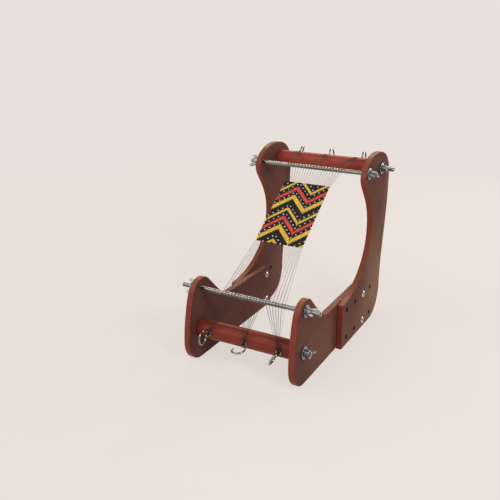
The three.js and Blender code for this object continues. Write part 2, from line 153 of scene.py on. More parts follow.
def choose(piece, kind, test):
    """Enters edit mode with only the faces or edges selected that pass a test."""
    with Editing(piece, kind):
        bpy.ops.mesh.select_all(action="DESELECT")
    parts = piece.data.polygons if kind == "FACE" else piece.data.edges
    for part in parts:
        part.select = test(part)
    bpy.ops.object.mode_set(mode="EDIT")


def settle(piece):
    """Puts a piece's place into its mesh, so that its object sits at the origin."""
    hold(piece)
    bpy.ops.object.transform_apply(location=True, rotation=True, scale=True)


def modify(piece, kind, **settings):
    """Adds a modifier, sets it and applies it."""
    hold(piece)
    bpy.ops.object.modifier_add(type=kind)
    modifier = piece.modifiers[-1]
    for name, value in settings.items():
        setattr(modifier, name, value)
    bpy.ops.object.modifier_apply(modifier=modifier.name)


def weld(piece):
    """Merges a closed piece's doubles and points its faces outwards."""
    with Editing(piece):
        bpy.ops.mesh.remove_doubles(threshold=MERGE)
        bpy.ops.mesh.normals_make_consistent(inside=False)


def smooth(piece, degrees=35.0):
    hold(piece)
    bpy.ops.object.shade_smooth_by_angle(angle=math.radians(degrees))


def even_shading(piece):
    """Keeps broad flat faces flat beside their eased edges."""
    modify(piece, "WEIGHTED_NORMAL", mode="FACE_AREA", keep_sharp=True)


def new_object(name, data):
    piece = bpy.data.objects.new(name, data)
    bpy.context.scene.collection.objects.link(piece)
    return piece


def copy_of_node(node, name):
    """A merged copy of a frame node's mesh."""
    piece = new_object(name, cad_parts[node].data.copy())
    piece.data.materials.clear()
    with Editing(piece):
        bpy.ops.mesh.customdata_custom_splitnormals_clear()
        bpy.ops.mesh.remove_doubles(threshold=MERGE)
    return piece


def copy_of(piece, name):
    """A copy of a finished piece, with a mesh of its own."""
    hold(piece)
    bpy.ops.object.duplicate(linked=False)
    copy = bpy.context.object
    copy.name = name
    return copy


def line_piece(name, points, origin):
    """A mesh line through points, which count from the piece's origin."""
    deselect()
    bpy.ops.mesh.primitive_plane_add(size=MM, location=origin)
    piece = bpy.context.object
    piece.name = name
    with Editing(piece):
        bpy.ops.mesh.merge(type="CENTER")
        bpy.ops.transform.translate(value=points[0])
        for here, there in zip(points, points[1:]):
            bpy.ops.mesh.extrude_region_move(TRANSFORM_OT_translate={"value": there - here})
    return piece


def turned(name, profile, origin, steps=64, pitch=0.0, turns=1):
    """A profile of (along, radius) pairs turned round the X axis through origin, or screwed along it."""
    points = [Vector((along, 0.0, radius)) for along, radius in profile]
    piece = line_piece(name, points, origin)
    modify(
        piece,
        "SCREW",
        axis="X",
        steps=steps,
        render_steps=steps,
        screw_offset=pitch,
        iterations=turns,
        use_merge_vertices=True,
        merge_threshold=MERGE,
    )
    weld(piece)
    return piece


def ring_profile(start, end, bore, rim, ease):
    """A flat ring's profile, from its bore over one eased edge and the rim to the other eased edge."""
    soft = 0.3 * ease
    return [
        (start, bore),
        (start, rim - ease),
        (start + soft, rim - soft),
        (start + ease, rim),
        (end - ease, rim),
        (end - soft, rim - soft),
        (end, rim - ease),
    ]


def wire_piece(name, lines, radius, roundness):
    """A mesh of round wires. Each line is a list of points with the share of the full thickness there."""
    curve = bpy.data.curves.new(name, "CURVE")
    curve.dimensions = "3D"
    curve.bevel_depth = radius
    curve.bevel_resolution = roundness
    curve.use_fill_caps = True
    for line in lines:
        spline = curve.splines.new("POLY")
        spline.points.add(len(line) - 1)
        for point, (spot, share) in zip(spline.points, line):
            point.co = (*spot, 1.0)
            point.radius = share
    hold(new_object(name, curve))
    bpy.ops.object.convert(target="MESH")
    return bpy.context.object


def ride(piece, body, slot, *nodes):
    """Fastens a finished piece to its body and lets it stand for its nodes. The slot is not used."""
    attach(piece, body)
    if nodes:
        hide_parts(*nodes)


# Materials


class Wire:
    """A socket in a node tree, for use in Python expressions. Each operator adds a Math node."""

    def __init__(self, tree, socket):
        self.tree = tree
        self.socket = socket

    def math(self, operation, *others):
        node = self.tree.nodes.new("ShaderNodeMath")
        node.operation = operation
        for place, value in zip(node.inputs, (self, *others)):
            plug(self.tree, place, value)
        return Wire(self.tree, node.outputs[0])

    def __add__(self, other):
        return self.math("ADD", other)

    __radd__ = __add__

    def __mul__(self, other):
        return self.math("MULTIPLY", other)

    __rmul__ = __mul__

    def __sub__(self, other):
        return self.math("SUBTRACT", other)

    def __rsub__(self, other):
        return (self * -1.0) + other

    def clamped(self, low=0.0, high=1.0):
        return self.math("MAXIMUM", low).math("MINIMUM", high)

    def contrast(self, amount):
        """Spreads values away from 0.5 and keeps them from 0 to 1."""
        return ((self - 0.5) * amount + 0.5).clamped()


def plug(tree, place, value):
    """Links a wire to a node's input, or sets the input to a plain value."""
    if isinstance(value, Wire):
        tree.links.new(value.socket, place)
    elif place.type == "RGBA":
        place.default_value = (*tuple(value)[:3], 1.0)
    else:
        place.default_value = value


class Tree:
    """The node tree of a material or a world, to which nodes are added."""

    def __init__(self, tree):
        self.tree = tree

    def add(self, kind, settings=None, sockets=None, output=0):
        """Any node: its settings first, then the values or links of its sockets."""
        node = self.tree.nodes.new(kind)
        for name, value in (settings or {}).items():
            setattr(node, name, value)
        for name, value in (sockets or {}).items():
            plug(self.tree, node.inputs[name], value)
        return Wire(self.tree, node.outputs[output])

    def show(self, share, first, second):
        """Shows a mix of two shaders: the first where share is 0, the second where it is 1."""
        mixed = self.add("ShaderNodeMixShader", sockets={"Fac": share, 1: first, 2: second})
        plug(self.tree, self.tree.get_output_node("ALL").inputs["Surface"], mixed)


class Finish(Tree):
    """A material being made, round its Principled shader. Keywords such as coat_weight set its sockets."""

    def __init__(self, name, color, roughness, **keywords):
        self.material = bpy.data.materials.new(name)
        self.material.use_nodes = True
        self.material.diffuse_color = (*tuple(color)[:3], 1.0)
        super().__init__(self.material.node_tree)
        self.shader = self.tree.nodes["Principled BSDF"]
        self.set("Base Color", color)
        self.set("Roughness", roughness)
        for keyword, value in keywords.items():
            self.set(keyword.replace("_", " ").title().replace("Ior", "IOR"), value)

    def set(self, socket, value):
        plug(self.tree, self.shader.inputs[socket], value)

    def place(self, stretch=(1.0, 1.0, 1.0)):
        """Object coordinates, stretched."""
        spot = self.add("ShaderNodeTexCoord", output=3)
        return self.add("ShaderNodeMapping", sockets={"Vector": spot, "Scale": stretch})

    def noise(self, scale, detail=3.0, stretch=(1.0, 1.0, 1.0)):
        sockets = {"Vector": self.place(stretch), "Scale": scale, "Detail": detail}
        return self.add("ShaderNodeTexNoise", sockets=sockets)

    def slope(self, rise):
        """A value that grows evenly through space, by rise for each metre along X, Y and Z."""
        sockets = {0: self.place(), 1: rise}
        return self.add("ShaderNodeVectorMath", {"operation": "DOT_PRODUCT"}, sockets, "Value")

    def mix(self, share, first, second):
        """A colour between first and second."""
        return self.add("ShaderNodeMix", {"data_type": "RGBA"}, {"Factor": share, 6: first, 7: second}, 2)

    def tones(self, share, color, dark, light):
        """A colour between a darker and a lighter tone of one colour."""
        return self.mix(share, shade(color, dark), shade(color, light))

    def bump(self, height, strength, distance):
        sockets = {"Height": height, "Strength": strength, "Distance": distance}
        self.set("Normal", self.add("ShaderNodeBump", sockets=sockets))


def shade(color, factor):
    """A colour made lighter or darker."""
    return tuple(min(1.0, part * factor) for part in tuple(color)[:3])


# How much a board's painted light, a browner tone, grows for each metre to the right, to the rear and upwards
PAINTED_LIGHT_SLOPE = (3.5, 4.5, -6.0)


def painted_board(name, color, worn_and_lit, streak):
    """Satin paint over fine board with faint long streaks, browner in random patches of thin paint.

    The browner tone also rises towards the right, the rear and the bottom of the loom, as painted light.
    """
    finish = Finish(name, color, 0.34, specular_ior_level=0.0, coat_weight=0.12, coat_roughness=0.22)
    broad = finish.noise(14.0, detail=2.0)
    grain = finish.noise(60.0, detail=4.0, stretch=(1.0, 0.3, 0.055))
    speck = finish.noise(1600.0, detail=1.0)
    share = (0.5 * broad + 0.5 * grain).contrast(streak)
    # Random patches of thin paint, plus painted light that rises along the slope
    thin_and_lit = (finish.noise(7.0, detail=1.0) - 0.5) * 1.8 + finish.slope(PAINTED_LIGHT_SLOPE) + 0.2
    red = finish.tones(share, color, 0.74, 1.28)
    brown = finish.tones(share, worn_and_lit, 0.74, 1.28)
    finish.set("Base Color", finish.mix(thin_and_lit.clamped(), red, brown))
    finish.set("Roughness", (0.28 + 0.16 * broad + 0.06 * grain).clamped())
    finish.bump(0.55 * grain + 0.45 * speck, 0.14, 0.12 * MM)
    return finish.material


def painted_edge(name, color, worn_and_lit):
    """The same paint where it has sunk into the sawn and sanded rim, browner where the rim faces up as a
    painted highlight of warm light from above and behind.
    """
    finish = Finish(name, color, 0.34, specular_ior_level=0.06, coat_weight=0.1, coat_roughness=0.2)
    pore = finish.noise(420.0, detail=3.0, stretch=(0.35, 1.0, 1.0))
    broad = finish.noise(30.0, detail=2.0)
    share = (0.6 * pore + 0.4 * broad).contrast(1.6)
    # Rims that face up are painted browner: a painted highlight of warm light from above and behind
    upward = finish.add("ShaderNodeAttribute", {"attribute_name": "upward"}, output="Fac")
    red = finish.tones(share, color, 0.8, 1.22)
    brown = finish.tones(share, worn_and_lit, 0.8, 1.22)
    finish.set("Base Color", finish.mix((1.8 * upward - 1.0).clamped(), red, brown))
    finish.set("Roughness", (0.28 + 0.18 * pore).clamped())
    finish.bump(pore, 0.18, 0.15 * MM)
    return finish.material


def shaded_bore(name, color):
    """The wall of a small drilled hole, coloured nearly black as painted shade."""
    finish = Finish(name, color, 0.8, specular_ior_level=0.1)
    pore = finish.noise(900.0, detail=2.0)
    finish.set("Base Color", finish.tones(pore, color, 0.7, 1.4))
    return finish.material


def painted_dowel(name, color):
    """Gloss paint on a turned bar, with the grain running along it."""
    finish = Finish(name, color, 0.3, specular_ior_level=0.05, coat_weight=0.16, coat_roughness=0.2)
    grain = finish.noise(220.0, detail=4.0, stretch=(0.06, 1.0, 1.0))
    broad = finish.noise(25.0, detail=2.0)
    share = (0.5 * grain + 0.5 * broad).contrast(1.5)
    finish.set("Base Color", finish.tones(share, color, 0.78, 1.25))
    finish.set("Roughness", (0.24 + 0.16 * grain).clamped())
    finish.bump(grain, 0.16, 0.12 * MM)
    return finish.material


def metal(name, color, roughness, mottle, patch):
    """Bare or plated metal, with a mottled plate and fine handling marks."""
    finish = Finish(name, color, roughness, metallic=1.0)
    cloud = finish.noise(patch, detail=4.0)
    mark = finish.noise(2400.0, detail=2.0)
    finish.set("Base Color", finish.tones(cloud.contrast(mottle), color, 0.72, 1.16))
    finish.set("Roughness", (roughness + 0.22 * (cloud - 0.5) + 0.06 * mark).clamped(0.05))
    finish.bump(mark, 0.08, 0.03 * MM)
    return finish.material


def thread_finish(name, color):
    """Dark thread with lighter plies."""
    finish = Finish(name, color, 0.55, specular_ior_level=0.2)
    ply = finish.noise(3000.0, detail=1.0)
    finish.set("Base Color", finish.tones(ply, color, 0.7, 1.5))
    finish.set("Roughness", (0.45 + 0.25 * ply).clamped())
    return finish.material


def bead_finish(name, color, spread=0.9):
    """Opaque glass. Each bead is its own island and takes its own tone."""
    finish = Finish(name, color, 0.16, specular_ior_level=0.3)
    lot = finish.add("ShaderNodeNewGeometry", output="Random Per Island")
    finish.set("Base Color", finish.tones(lot.contrast(spread), color, 0.72, 1.2))
    finish.set("Roughness", (0.2 + 0.14 * lot).clamped())
    return finish.material


# Sizes and colours that a user would change


def length(name, text, default):
    return bpy.props.FloatProperty(
        name=name, description=text, default=default, subtype="DISTANCE", unit="LENGTH", precision=5
    )


def tint(name, text, default):
    return bpy.props.FloatVectorProperty(
        name=name, description=text, default=default, subtype="COLOR", size=3, min=0.0, max=1.0
    )


def count(name, text, default):
    return bpy.props.IntProperty(name=name, description=text, default=default, min=1)


class LoomSizes(bpy.types.PropertyGroup):
    ease: length("Eased edge", "Radius of the boards' rounded edges", 0.8 * MM)
    pitch: length("Screw pitch", "Advance of the rods' thread in one turn", 1.058 * MM)
    thread_depth: length("Thread depth", "From the crest to the root of the rods' rolled thread", 0.3 * MM)
    dowel_ease: length("Dowel edge", "Rounding of the dowels' ends", 0.6 * MM)
    washer_ease: length("Washer edge", "Rounding of the washers' stamped rims", 0.25 * MM)
    cast_grain: length("Casting grain", "Cell size of the wing nuts' remeshed casting", 0.28 * MM)
    socket: length("Connector socket", "Distance across the flats of a connector's socket", 3.0 * MM)
    hook_wire: length("Hook wire", "Thickness of the hooks' wire", 2.2 * MM)
    hook_shank: length("Hook shank", "Straight part of a hook outside its dowel", 5.0 * MM)
    hook_bend: length("Hook bend", "Radius of a hook's loop", 7.6 * MM)
    collar: length("Hook collar", "Diameter of the collar at a hook's foot", 6.6 * MM)
    thread: length("Warp thread", "Diameter of one warp thread", 0.26 * MM)
    columns: count("Bead columns", "Beads across the strip", 40)
    rows: count("Bead rows", "Beads along the strip", 65)
    rod_spread: length("Warp spacing", "Width of the warp on a rod, for each of its threads", 2.0 * MM)
    twin_gap: length("Twin gap", "Between the two threads that lie together on a rod", 0.45 * MM)
    knot: length("Knot width", "Width of the threads of one hook where they are tied", 1.9 * MM)


class LoomColors(bpy.types.PropertyGroup):
    board: tint("Board faces", "Dark red-brown paint of the flat faces", (0.102, 0.04, 0.03))
    # The faces' browner tone: partly thin paint, partly painted light
    worn_and_lit: tint("Thin paint", "Browner tone of the faces in patches of thin paint", (0.185, 0.104, 0.066))
    rim: tint("Board edges", "Brighter red of the boards' rims", (0.2, 0.04, 0.026))
    # A browner tone painted on the rims that face up, a painted highlight of warm light from above and behind
    lit_rim: tint("Upper edges", "Browner tone of the rims that face up", (0.24, 0.09, 0.045))
    # Nearly black walls: painted shade inside the spare holes
    bore: tint("Connector holes", "Dark walls of the spare connector holes", (0.02, 0.009, 0.007))
    dowel: tint("Dowels", "Red paint of the turned bars", (0.19, 0.03, 0.019))
    steel: tint("Threaded rods", "Bright rolled steel", (0.32, 0.305, 0.27))
    zinc: tint("Zinc plate", "Bluish plate of the nuts and washers", (0.31, 0.34, 0.365))
    nickel: tint("Nickel plate", "Warm plate of the hooks", (0.31, 0.29, 0.255))
    head: tint("Connector plate", "Silvery plate of the connectors", (0.56, 0.56, 0.54))
    thread: tint("Warp thread", "Dark thread of the warp", (0.03, 0.022, 0.018))
    bead_black: tint("Black beads", "Ground of the beadwork", (0.008, 0.006, 0.006))
    bead_yellow: tint("Yellow beads", "Broad zigzags of the beadwork", (0.92, 0.57, 0.07))
    bead_coral: tint("Coral beads", "Narrow zigzags of the beadwork", (0.78, 0.08, 0.06))
    bead_white: tint("White beads", "Lines of single beads in the beadwork", (0.95, 0.92, 0.86))
    ground: tint("Ground", "Pale floor and backdrop", (0.807, 0.745, 0.701))


def sizes():
    return bpy.context.scene.loom_sizes


def colors():
    return bpy.context.scene.loom_colors


# Pieces


def soften_outline(curve, corner=25.0, straight=20.0 * MM):
    """Turns a drawn outline's points into a smooth curve, keeping its corners and long straight stretches."""
    for spline in curve.splines:
        points = spline.bezier_points
        for index, point in enumerate(points):
            before = point.co - points[index - 1].co
            after = points[(index + 1) % len(points)].co - point.co
            sharp = before.angle(after) > math.radians(corner)
            point.handle_left_type = "VECTOR" if sharp or before.length > straight else "AUTO"
            point.handle_right_type = "VECTOR" if sharp or after.length > straight else "AUTO"


def small_loops(curve, widest=9.0 * MM):
    """The centres of a drawn outline's small holes."""
    middles = []
    for spline in curve.splines:
        points = [point.co for point in spline.bezier_points]
        middle = sum(points, Vector()) / len(points)
        if 2 * max((point - middle).length for point in points) < widest:
            middles.append(middle)
    return middles


# A flat face of a board has more of its normal than this along X
FLAT = 0.8

# A board's finishes, in the order of its materials
FACE, RIM, BORE = range(3)


def build_board(node):
    """One side board: the node's outline and holes, smoothed, with eased edges. Also gives its holes."""
    low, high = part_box(node)
    thickness = high.x - low.x
    ease = sizes().ease
    piece = copy_of_node(node, f"{node}_board")
    choose(piece, "FACE", lambda polygon: polygon.normal.x > FLAT)
    bpy.ops.mesh.region_to_loop()
    bpy.ops.mesh.select_all(action="INVERT")
    bpy.ops.mesh.delete(type="EDGE")
    bpy.ops.object.mode_set(mode="OBJECT")
    piece.data.transform(STAND_UP.inverted() @ Matrix.Translation((-high.x, 0.0, 0.0)))
    hold(piece)
    bpy.ops.object.convert(target="CURVE")
    piece = bpy.context.object
    bpy.ops.object.mode_set(mode="EDIT")
    bpy.ops.curve.select_all(action="SELECT")
    bpy.ops.curve.spline_type_set(type="BEZIER")
    bpy.ops.object.mode_set(mode="OBJECT")
    curve = piece.data
    curve.dimensions = "2D"
    curve.fill_mode = "BOTH"
    curve.resolution_u = 4
    soften_outline(curve)
    curve.extrude = thickness / 2 - ease
    curve.bevel_depth = ease
    curve.bevel_resolution = 2
    curve.offset = -ease
    holes = [STAND_UP @ middle for middle in small_loops(curve)]
    hold(piece)
    bpy.ops.object.convert(target="MESH")
    piece = bpy.context.object
    piece.data.transform(Matrix.Translation(((low.x + high.x) / 2, 0.0, 0.0)) @ STAND_UP)
    weld(piece)
    return piece, holes


def board_finish(polygon, holes, near=5.0 * MM):
    """Which of the board's finishes a polygon has. A bore's wall is near the middle of its hole."""
    if abs(polygon.normal.x) > FLAT:
        return FACE
    spot = polygon.center * Vector((0.0, 1.0, 1.0))
    return BORE if any((spot - hole).length < near for hole in holes) else RIM


def mark_upward(piece):
    """Stores at each point how far the surface faces up, which places the rims' painted highlight."""
    upward = piece.data.attributes.new("upward", "FLOAT", "POINT")
    upward.data.foreach_set("value", [max(0.0, vertex.normal.z) for vertex in piece.data.vertices])


class LOOM_OT_boards(bpy.types.Operator):
    """Models the two arms and the two posts"""

    bl_idname = "loom.boards"
    bl_label = "Side Boards"

    def execute(self, context):
        face = painted_board("board_paint", colors().board, colors().worn_and_lit, 1.5)
        rim = painted_edge("rim_paint", colors().rim, colors().lit_rim)
        bore = shaded_bore("bore_wall", colors().bore)
        for node in PANELS:
            piece, holes = build_board(node)
            piece.data.materials.clear()
            for finish in (face, rim, bore):
                piece.data.materials.append(finish)
            for polygon in piece.data.polygons:
                polygon.material_index = board_finish(polygon, holes)
            smooth(piece, 40.0)
            even_shading(piece)
            mark_upward(piece)
            ride(piece, "frame", "panel_paint", node)
        return {"FINISHED"}


# One turn of the rods' rolled thread, as shares of its pitch and of its depth
THREAD_TURN = ((0.0, 0.0), (0.5, 0.0), (0.66, 1.0), (0.84, 1.0), (1.0, 0.0))


def chamfer_ends(piece, node, reach=0.7 * MM, slope=0.9):
    """Narrows a rod within reach of its ends, at an even slope."""
    low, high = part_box(node)
    middle = axis_of(node)
    for vertex in piece.data.vertices:
        depth = min(vertex.co.x - low.x, high.x - vertex.co.x)
        off = (vertex.co - middle) * Vector((0.0, 1.0, 1.0))
        limit = ROD_RADIUS - slope * (reach - depth)
        if depth < reach and off.length > limit:
            vertex.co -= off * (1.0 - limit / off.length)


def build_rod(node):
    """A rod with a rolled thread from end to end and chamfered ends."""
    low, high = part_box(node)
    pitch = sizes().pitch
    profile = [(along * pitch, ROD_RADIUS - sunk * sizes().thread_depth) for along, sunk in THREAD_TURN]
    turns = math.ceil((high.x - low.x) / pitch) + 2
    start = Vector((low.x - pitch, 0.0, 0.0)) + axis_of(node)
    piece = turned(f"{node}_threaded", profile, start, steps=28, pitch=pitch, turns=turns)
    settle(piece)
    for end, outward in ((low.x, -1.0), (high.x, 1.0)):
        with Editing(piece):
            bpy.ops.mesh.bisect(
                plane_co=(end, 0.0, 0.0), plane_no=(outward, 0.0, 0.0), use_fill=True, clear_outer=True
            )
    chamfer_ends(piece, node)
    return piece


class LOOM_OT_rods(bpy.types.Operator):
    """Models the four threaded rods"""

    bl_idname = "loom.rods"
    bl_label = "Threaded Rods"

    def execute(self, context):
        steel = metal("rod_steel", colors().steel, 0.16, 1.0, 90.0)
        for node in RODS:
            piece = build_rod(node)
            piece.data.materials.append(steel)
            smooth(piece, 40.0)
            ride(piece, "frame", "rod_steel", node)
        return {"FINISHED"}


def build_dowel(node, rounding=4):
    """A bar with its bore and rounded ends."""
    half = size_of(node).x / 2
    ease = sizes().dowel_ease
    profile = [(-half, ROD_RADIUS + CLEARANCE)]
    for step in range(rounding + 1):
        angle = step / rounding * math.pi / 2
        profile.append((-half + ease * (1 - math.cos(angle)), DOWEL_RADIUS - ease * (1 - math.sin(angle))))
    profile += [(-along, radius) for along, radius in reversed(profile)]
    profile.append(profile[0])
    piece = turned(f"{node}_bar", profile, axis_of(node), steps=96)
    settle(piece)
    return piece


HOOK_KINK = 2.0 * MM  # radius of the kink between a hook's shank and its loop


def hook_place(node, dowel):
    """Where a hook's shank leaves the dowel: its x and its angle."""
    off = corners(node) - np.array(dowel)
    inside = np.hypot(off[:, 1], off[:, 2]) < 0.9 * DOWEL_RADIUS
    shank = off[inside].mean(axis=0)
    return shank[0], math.atan2(shank[2], shank[1]) % (2 * math.pi)


def hook_foot(node, dowel):
    """The matrix of a hook: its Z out of the dowel's surface along the shank, its X across the loop."""
    x, angle = hook_place(node, dowel)
    outward = ring_point(Vector(), 1.0, angle)
    foot = Vector((x, 0.0, 0.0)) + ring_point(dowel, DOWEL_RADIUS, angle)
    off = corners(node) - np.array(foot)
    loop = Vector(off[off @ np.array(outward) > sizes().hook_shank + HOOK_KINK].mean(axis=0))
    across = (outward * outward.dot(loop) - loop).normalized()
    turn = Matrix((across, outward.cross(across), outward)).transposed().to_4x4()
    return Matrix.Translation(foot) @ turn


def hook_path(sink=6.6 * MM, sweep=math.radians(275.0), kink_steps=8, loop_steps=40):
    """Points along a hook's wire with the share of its thickness there.

    A shank that begins inside the dowel, a kink to one side, a round loop and a rounded tip.
    """
    shank, bend = sizes().hook_shank, sizes().hook_bend
    lean = math.acos(HOOK_KINK / (HOOK_KINK + bend))
    middle = shank + (HOOK_KINK + bend) * math.sin(lean)
    path = [(Vector((0.0, 0.0, -sink)), 1.0), (Vector((0.0, 0.0, 0.5 * shank)), 1.0)]
    for step in range(kink_steps + 1):
        turn = lean * step / kink_steps
        aside, rise = HOOK_KINK * (math.cos(turn) - 1), HOOK_KINK * math.sin(turn)
        path.append((Vector((aside, 0.0, shank + rise)), 1.0))
    tip = sizes().hook_wire / 2 / bend
    loop = [(lean - (sweep - tip) * step / loop_steps, 1.0) for step in range(1, loop_steps + 1)]
    for share in (0.3, 0.55, 0.75, 0.9, 0.98):
        loop.append((lean - sweep + tip * (1 - share), math.sqrt(1 - share**2)))
    for turn, thickness in loop:
        path.append((Vector((-bend * math.cos(turn), 0.0, middle - bend * math.sin(turn))), thickness))
    return path


def build_collar(seat=0.2 * MM, top=1.4 * MM, ease=0.3 * MM):
    """The collar of a hook, round the Z axis and just clear of the dowel."""
    bore = 0.9 * sizes().hook_wire / 2
    profile = ring_profile(seat, top, bore, sizes().collar / 2, ease) + [(top, bore), (seat, bore)]
    collar = turned("collar", profile, (0.0, 0.0, 0.0), steps=48)
    collar.rotation_euler = (0.0, -math.pi / 2, 0.0)
    settle(collar)
    return collar


def build_hook():
    """A cup hook with its collar, standing along +Z on the origin."""
    wire = wire_piece("hook_pattern", [hook_path()], sizes().hook_wire / 2, roundness=6)
    hold(wire, build_collar())
    bpy.ops.object.join()
    return wire


class LOOM_OT_dowels(bpy.types.Operator):
    """Models the two dowels and their six hooks"""

    bl_idname = "loom.dowels"
    bl_label = "Dowels and Hooks"

    def execute(self, context):
        nickel = metal("hook_nickel", colors().nickel, 0.12, 0.8, 300.0)
        pattern = build_hook()
        pattern.data.materials.append(nickel)
        # The top dowel's paint is made lighter than the front one's: painted light for the stronger light it
        # gets from above
        for body, axis, tone in (("front_dowel", FRONT_DOWEL, 0.98), ("top_dowel", TOP_DOWEL, 1.6)):
            paint = painted_dowel(f"{body}_paint", shade(colors().dowel, tone))
            bar = build_dowel(body)
            bar.data.materials.append(paint)
            smooth(bar, 40.0)
            even_shading(bar)
            ride(bar, body, "dowel_paint", body)
            for side in HOOKS:
                node = f"{body.split('_')[0]}_hook_{side}"
                hook = copy_of(pattern, f"{node}_wire")
                hook.data.transform(hook_foot(node, axis))
                smooth(hook, 50.0)
                ride(hook, body, "nickel_wire", node)
        bpy.data.objects.remove(pattern)
        return {"FINISHED"}


def stand_on(piece, node, outward):
    """Turns a fitting that was modelled along +X to face outward, and sets it on its node's seat."""
    low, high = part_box(node)
    seat = Vector((low.x if outward > 0 else high.x, 0.0, 0.0)) + axis_of(node)
    piece.rotation_euler = (0.0, 0.0, 0.0 if outward > 0 else math.pi)
    piece.location = seat
    settle(piece)


def build_washer():
    """A stamped washer with its seat at the origin and its axis along +X."""
    size = size_of(f"{RODS[0]}_washer_right")
    bore = ROD_RADIUS + CLEARANCE
    ease = sizes().washer_ease
    profile = ring_profile(0.0, size.x, bore, size.z / 2, ease)
    profile += [(size.x, bore + ease), (size.x - ease, bore), (0.0, bore)]
    return turned("washer_pattern", profile, (0.0, 0.0, 0.0), steps=64)


def cast_wing_nut(node):
    """A wing nut with the soft corners of a casting."""
    piece = copy_of_node(node, f"{node}_cast")
    modify(piece, "REMESH", mode="VOXEL", voxel_size=sizes().cast_grain)
    modify(piece, "SMOOTH", factor=0.5, iterations=6)
    return piece


class LOOM_OT_fasteners(bpy.types.Operator):
    """Models the eight washers and the eight wing nuts"""

    bl_idname = "loom.fasteners"
    bl_label = "Washers and Wing Nuts"

    def execute(self, context):
        zinc = metal("fastener_zinc", colors().zinc, 0.36, 1.8, 260.0)
        pattern = build_washer()
        pattern.data.materials.append(zinc)
        for rod in RODS:
            for side, outward in SIDES.items():
                body = f"{rod}_washer_{side}"
                washer = copy_of(pattern, f"{body}_plate")
                stand_on(washer, body, outward)
                smooth(washer, 40.0)
                ride(washer, body, "zinc_plate", body)
                body = f"{rod}_wing_nut_{side}"
                nut = cast_wing_nut(body)
                nut.data.materials.append(zinc)
                smooth(nut, 80.0)
                ride(nut, body, "zinc_plate", body)
        bpy.data.objects.remove(pattern)
        return {"FINISHED"}


def connector_profile(tip, seat, top, shank, radius, steps=6):
    """A connector half from its chamfered tip along its shank, under its head and over the head's dome."""
    chamfer = 0.12 * shank
    wall = 0.3 * (top - seat)
    profile = [(tip, 0.0), (tip, shank - chamfer), (tip + chamfer, shank), (seat, shank), (seat, radius)]
    for step in range(1, steps + 1):
        share = step / steps
        along = seat + wall + (top - seat - wall) * math.sin(share * math.pi / 2)
        profile.append((along, radius * (1 - 0.5 * share**1.6)))
    profile.append((top, 0.0))
    return profile


def build_connector(node, toward):
    """A connector half with its domed head facing toward and a six-sided socket in the head."""
    points = corners(node) - np.array(axis_of(node))
    reach = np.hypot(points[:, 1], points[:, 2])
    along = points[:, 0] * toward
    radius = size_of(node).z / 2
    top = along.max()
    seat = along[reach > 0.98 * radius].min()
    shank = reach[along < seat - MM].max()
    socket_depth = 0.75 * (top - seat)
    profile = connector_profile(along.min(), seat, top, shank, radius)
    piece = turned(f"{node}_bolt", profile, (0.0, 0.0, 0.0), steps=48)
    deselect()
    bpy.ops.mesh.primitive_cylinder_add(
        vertices=6,
        radius=sizes().socket / math.sqrt(3.0),
        depth=2 * socket_depth,
        location=(top, 0.0, 0.0),
        rotation=(0.0, math.pi / 2, 0.0),
    )
    cutter = bpy.context.object
    settle(cutter)
    modify(piece, "BOOLEAN", object=cutter, operation="DIFFERENCE", solver="EXACT")
    bpy.data.objects.remove(cutter)
    piece.rotation_euler = (0.0, 0.0, 0.0 if toward > 0 else math.pi)
    piece.location = axis_of(node)
    settle(piece)
    return piece


class LOOM_OT_connectors(bpy.types.Operator):
    """Models the four connectors that join arms and posts"""

    bl_idname = "loom.connectors"
    bl_label = "Connectors"

    def execute(self, context):
        plate = metal("connector_plate", colors().head, 0.16, 0.8, 200.0)
        for side, outward in SIDES.items():
            for row in ("lower", "upper"):
                for half, toward in (("screw", outward), ("sleeve", -outward)):
                    node = f"{side}_connector_{half}_{row}"
                    piece = build_connector(node, toward)
                    piece.data.materials.append(plate)
                    smooth(piece, 35.0)
                    ride(piece, "frame", "zinc_plate", node)
        return {"FINISHED"}


# Beadwork


def strip_frame():
    """The matrix of the beadwork: its X across, its Y along the warp and its Z out of it."""
    turn = Matrix((Vector((1.0, 0.0, 0.0)), RUN, LIFT)).transposed().to_4x4()
    return Matrix.Translation(centre("beadwork")) @ turn


def triangle_wave(position, period, height):
    """Zigzag between 0 and height."""
    phase = (position % period) / period
    return height * (1 - abs(2 * phase - 1))


BEAD_COLORS = ("black", "yellow", "coral", "white")

# The pattern, in beads. Each repeat has three zigzag bands (first row, row past the last, colour)
# and three zigzag lines of dots on black
REPEATS = 2
ZIGZAG_WIDTH = 27
ZIGZAG_HEIGHT = 14
BANDS = ((0.0, 5.0, "yellow"), (10.0, 14.0, "coral"), (20.0, 23.0, "yellow"))
DOT_LINES = (7.0, 16.5, 25.5)
DOT_SPACING = 3


def bead_color(column, row, rows):
    """Broad yellow and coral zigzags across a black ground, with lines of white dots between them."""
    step = (row - triangle_wave(column, ZIGZAG_WIDTH, ZIGZAG_HEIGHT)) % (rows / REPEATS)
    for first, end, color in BANDS:
        if first <= step < end:
            return color
    dotted = any(line <= step < line + 1.0 for line in DOT_LINES)
    return "white" if dotted and column % DOT_SPACING == 0 else "black"


def build_bead(width, height):
    """One short glass bead, rounded, with its hole along X."""
    half, outer = width / 2, height / 2
    shoulder = 0.62 * half
    end = 0.72 * outer
    hole = 0.4 * outer
    profile = [(-half, hole), (-half, end), (-shoulder, outer), (shoulder, outer), (half, end), (half, hole)]
    return turned("bead_pattern", [*profile, profile[0]], (0.0, 0.0, 0.0), steps=10)


